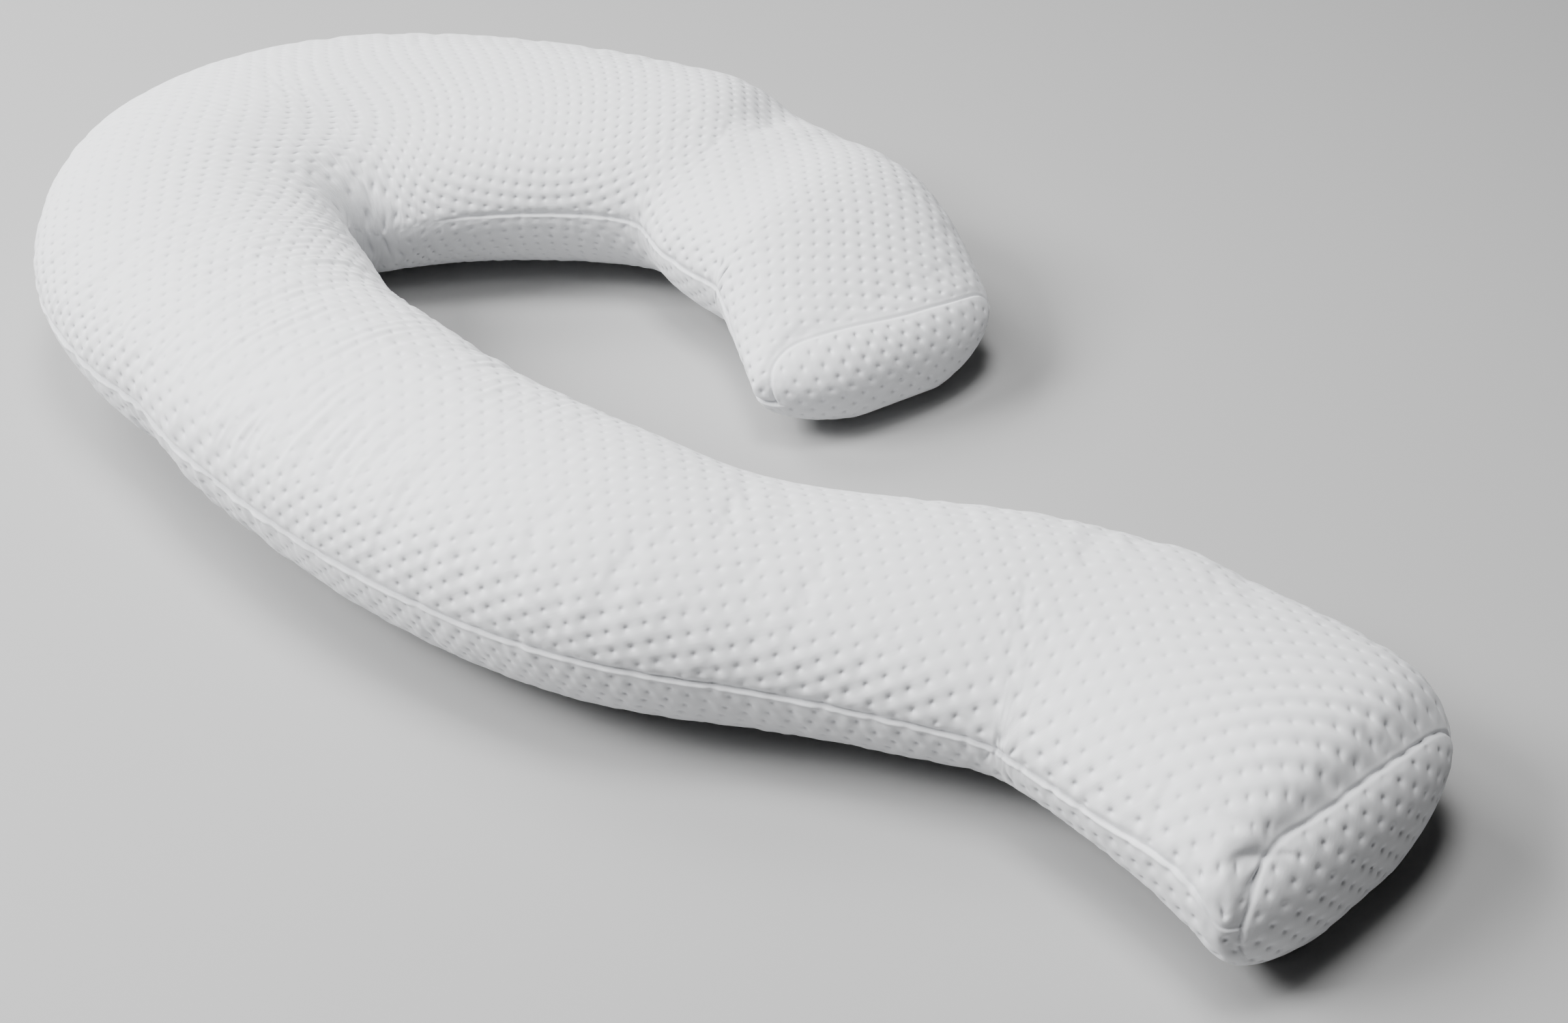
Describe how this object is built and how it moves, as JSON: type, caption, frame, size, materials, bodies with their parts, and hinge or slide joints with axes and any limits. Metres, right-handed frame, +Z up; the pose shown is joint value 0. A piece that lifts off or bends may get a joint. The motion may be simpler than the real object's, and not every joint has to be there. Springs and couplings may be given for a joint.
{
  "type": "body pillow",
  "caption": "Full-length curved body pillow: a long tail that bends back into a hook, filled, with a drawn-in side seam and a crowned panel sewn into each end.",
  "frame": {"origin": "the middle of the pillow's outline on the floor it lies on", "axes": "+X along the pillow's length towards the foot of the tail, +Z up from the floor, +Y towards the hook's tip"},
  "size_m": [1.426, 0.7528, 0.2004],
  "materials": {
    "knit": "matt dimpled knit"
  },
  "bodies": {
    "root": {"pillow_body": "knit", "end_panel_foot": "knit", "end_panel_head": "knit"}
  },
  "joints": []
}
